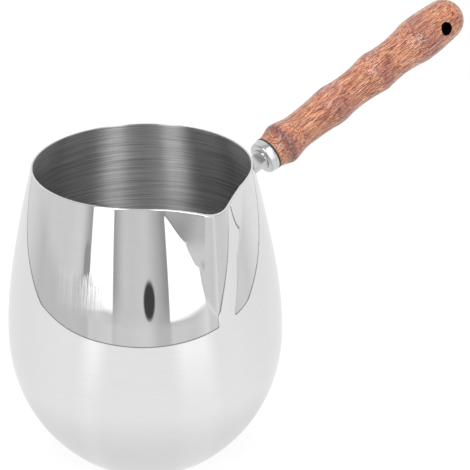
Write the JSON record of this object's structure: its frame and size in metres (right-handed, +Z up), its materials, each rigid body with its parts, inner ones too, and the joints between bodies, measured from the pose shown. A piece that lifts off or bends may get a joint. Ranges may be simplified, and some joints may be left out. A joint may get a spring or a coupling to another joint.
{
  "type": "milk pan",
  "caption": "tall rounded steel pan with a pressed pouring spout and a turned wooden side handle, for warming milk",
  "frame": {"origin": "on the pot's axis, in the plane of its standing ring", "axes": "+Z up the pot's axis, +X toward the handle, the spout close to -Y"},
  "size_m": [0.2316, 0.1132, 0.1572],
  "materials": {
    "polished_steel": "mirror polished stainless steel outside, fine turned brushing inside the pot",
    "black_washer": "dull black",
    "handle_wood": "reddish brown wood under gloss lacquer",
    "brass": "plain turned brass"
  },
  "bodies": {
    "root": {"vessel": "polished_steel", "handle_bracket": "polished_steel", "handle_stud": "polished_steel", "ferrule": "polished_steel", "handle_washer": "black_washer", "handle": "handle_wood", "threaded_insert": "brass"}
  },
  "joints": []
}
